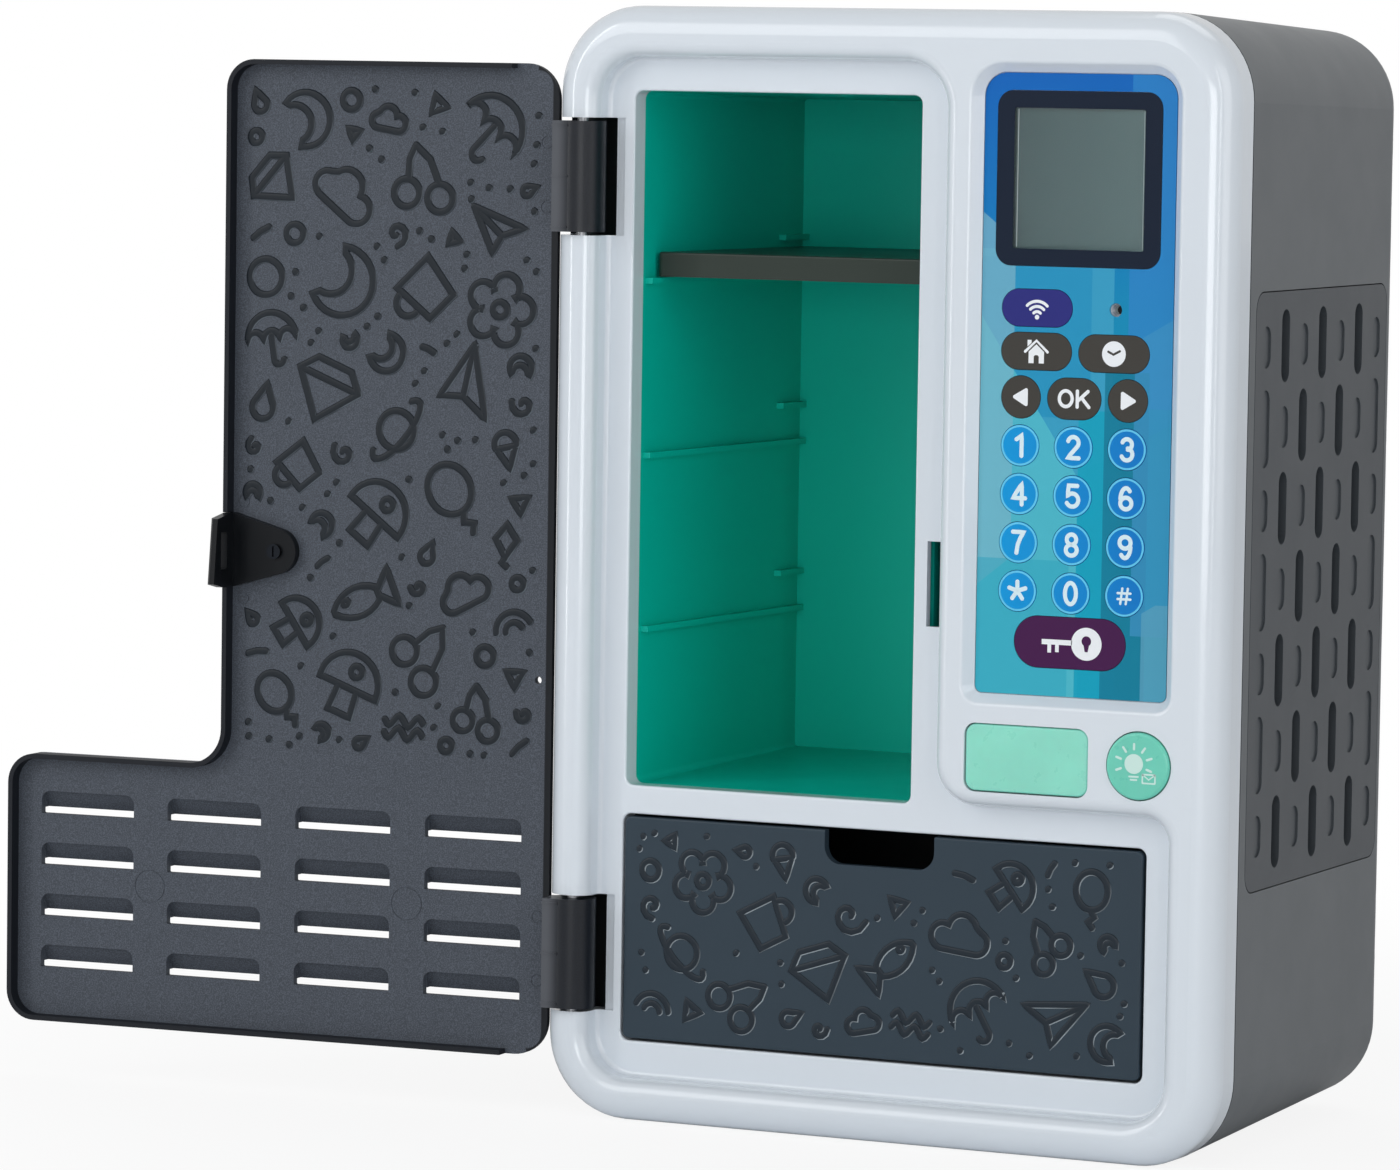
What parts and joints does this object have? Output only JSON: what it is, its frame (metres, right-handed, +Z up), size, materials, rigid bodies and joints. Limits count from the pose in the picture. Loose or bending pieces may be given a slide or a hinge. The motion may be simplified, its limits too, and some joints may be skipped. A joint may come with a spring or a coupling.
{
  "type": "electronic secret diary",
  "caption": "Upright locker-shaped electronic diary with an L-shaped hinged door, lined compartment with a shelf, drawer, screen and keypad.",
  "frame": {"origin": "on the standing plane, at mid width and mid depth of the case", "axes": "+X to the viewer's right, the front faces -Y, +Z up"},
  "size_m": [0.3464, 0.1458, 0.29],
  "materials": {
    "bezel_white": "glossy, faintly bluish white",
    "case_grey": "satin grey",
    "vent_grey": "satin dark grey",
    "liner_teal": "satin teal",
    "lamp_clear": "clear lens",
    "shelf_grey": "satin warm dark grey",
    "drawer_slate": "satin slate",
    "tray_grey": "satin dark grey",
    "door_slate": "fine grained slate",
    "hinge_black": "satin near black",
    "hook_black": "satin black",
    "steel": "plain steel",
    "screw_black": "black oxide steel",
    "inner_black": "matt black",
    "overlay_blue": "printed blue, satin",
    "lens_navy": "clear window with a navy border",
    "screen_green": "grey green screen in a dark frame",
    "key_grey": "dark grey with a pale symbol",
    "key_navy": "navy with a pale symbol",
    "key_purple": "dark purple with a pale symbol",
    "key_blue": "blue with a pale digit and ring",
    "mat_rubber": "grey silicone",
    "board_green": "circuit board green",
    "window_mint": "translucent mint",
    "button_mint": "mint",
    "cell_grey": "plain grey wrap"
  },
  "bodies": {
    "case": {"front_bezel": "bezel_white", "rear_case": "case_grey", "right_vent_panel": "vent_grey", "left_vent_panel": "vent_grey", "compartment_liner": "liner_teal", "compartment_lamp": "lamp_clear", "drawer_housing": "tray_grey", "lower_hinge_pin": "steel", "upper_hinge_pin": "steel", "lock_housing": "inner_black", "lock_motor": "steel", "keypad_overlay": "overlay_blue", "screen_lens": "lens_navy", "screen_module": "screen_green", "dome_mat": "mat_rubber", "keypad_circuit": "board_green", "microphone": "steel", "message_light": "window_mint", "message_lamp_board": "board_green", "button_switch": "board_green", "main_board": "board_green", "speaker": "inner_black", "battery_box": "inner_black", "batteries": "cell_grey", "battery_contacts": "steel", "case_screws": "steel"},
    "door": {"door_panel": "door_slate", "lower_hinge_arm": "hinge_black", "upper_hinge_arm": "hinge_black", "door_hook": "hook_black", "hook_screw": "screw_black"},
    "drawer": {"drawer_front": "drawer_slate", "drawer_tray": "tray_grey"},
    "shelf": {"shelf": "shelf_grey"},
    "bolt": {"lock_bolt": "steel"},
    "battery_cover": {"battery_cover": "case_grey", "battery_cover_screw": "steel"},
    "light_button": {"light_button": "button_mint"},
    "key_1": {"key_1": "key_blue"},
    "key_2": {"key_2": "key_blue"},
    "key_3": {"key_3": "key_blue"},
    "key_4": {"key_4": "key_blue"},
    "key_5": {"key_5": "key_blue"},
    "key_6": {"key_6": "key_blue"},
    "key_7": {"key_7": "key_blue"},
    "key_8": {"key_8": "key_blue"},
    "key_9": {"key_9": "key_blue"},
    "key_0": {"key_0": "key_blue"},
    "key_star": {"key_star": "key_blue"},
    "key_hash": {"key_hash": "key_blue"},
    "key_left": {"key_left": "key_grey"},
    "key_ok": {"key_ok": "key_grey"},
    "key_right": {"key_right": "key_grey"},
    "key_home": {"key_home": "key_grey"},
    "key_clock": {"key_clock": "key_grey"},
    "key_wireless": {"key_wireless": "key_navy"},
    "key_unlock": {"key_unlock": "key_purple"}
  },
  "joints": [
    {"name": "door_hinge", "type": "hinge", "parent": "case", "child": "door", "pos_m": [-0.0874, -0.0609, 0.145], "axis": [0, 0, -1], "range_deg": [-176.2, 1]},
    {"name": "drawer_slide", "type": "slide", "parent": "case", "child": "drawer", "axis": [0, -1, 0], "range_m": [0, 0.075]},
    {"name": "shelf_slide", "type": "slide", "parent": "case", "child": "shelf", "axis": [0, -1, 0], "range_m": [0, 0.06]},
    {"name": "lock_bolt_slide", "type": "slide", "parent": "case", "child": "bolt", "axis": [-1, 0, 0], "range_m": [0, 0.005]},
    {"name": "battery_cover_lift", "type": "slide", "parent": "case", "child": "battery_cover", "axis": [0, 1, 0], "range_m": [0, 0.03]},
    {"name": "light_button_press", "type": "slide", "parent": "case", "child": "light_button", "axis": [0, 1, 0], "range_m": [0, 0.0008], "stiffness_N_per_m": 600},
    {"name": "key_1_press", "type": "slide", "parent": "case", "child": "key_1", "axis": [0, 1, 0], "range_m": [0, 0.00035], "stiffness_N_per_m": 800},
    {"name": "key_2_press", "type": "slide", "parent": "case", "child": "key_2", "axis": [0, 1, 0], "range_m": [0, 0.00035], "stiffness_N_per_m": 800},
    {"name": "key_3_press", "type": "slide", "parent": "case", "child": "key_3", "axis": [0, 1, 0], "range_m": [0, 0.00035], "stiffness_N_per_m": 800},
    {"name": "key_4_press", "type": "slide", "parent": "case", "child": "key_4", "axis": [0, 1, 0], "range_m": [0, 0.00035], "stiffness_N_per_m": 800},
    {"name": "key_5_press", "type": "slide", "parent": "case", "child": "key_5", "axis": [0, 1, 0], "range_m": [0, 0.00035], "stiffness_N_per_m": 800},
    {"name": "key_6_press", "type": "slide", "parent": "case", "child": "key_6", "axis": [0, 1, 0], "range_m": [0, 0.00035], "stiffness_N_per_m": 800},
    {"name": "key_7_press", "type": "slide", "parent": "case", "child": "key_7", "axis": [0, 1, 0], "range_m": [0, 0.00035], "stiffness_N_per_m": 800},
    {"name": "key_8_press", "type": "slide", "parent": "case", "child": "key_8", "axis": [0, 1, 0], "range_m": [0, 0.00035], "stiffness_N_per_m": 800},
    {"name": "key_9_press", "type": "slide", "parent": "case", "child": "key_9", "axis": [0, 1, 0], "range_m": [0, 0.00035], "stiffness_N_per_m": 800},
    {"name": "key_0_press", "type": "slide", "parent": "case", "child": "key_0", "axis": [0, 1, 0], "range_m": [0, 0.00035], "stiffness_N_per_m": 800},
    {"name": "key_star_press", "type": "slide", "parent": "case", "child": "key_star", "axis": [0, 1, 0], "range_m": [0, 0.00035], "stiffness_N_per_m": 800},
    {"name": "key_hash_press", "type": "slide", "parent": "case", "child": "key_hash", "axis": [0, 1, 0], "range_m": [0, 0.00035], "stiffness_N_per_m": 800},
    {"name": "key_left_press", "type": "slide", "parent": "case", "child": "key_left", "axis": [0, 1, 0], "range_m": [0, 0.00035], "stiffness_N_per_m": 800},
    {"name": "key_ok_press", "type": "slide", "parent": "case", "child": "key_ok", "axis": [0, 1, 0], "range_m": [0, 0.00035], "stiffness_N_per_m": 800},
    {"name": "key_right_press", "type": "slide", "parent": "case", "child": "key_right", "axis": [0, 1, 0], "range_m": [0, 0.00035], "stiffness_N_per_m": 800},
    {"name": "key_home_press", "type": "slide", "parent": "case", "child": "key_home", "axis": [0, 1, 0], "range_m": [0, 0.00035], "stiffness_N_per_m": 800},
    {"name": "key_clock_press", "type": "slide", "parent": "case", "child": "key_clock", "axis": [0, 1, 0], "range_m": [0, 0.00035], "stiffness_N_per_m": 800},
    {"name": "key_wireless_press", "type": "slide", "parent": "case", "child": "key_wireless", "axis": [0, 1, 0], "range_m": [0, 0.00035], "stiffness_N_per_m": 800},
    {"name": "key_unlock_press", "type": "slide", "parent": "case", "child": "key_unlock", "axis": [0, 1, 0], "range_m": [0, 0.00035], "stiffness_N_per_m": 800}
  ]
}
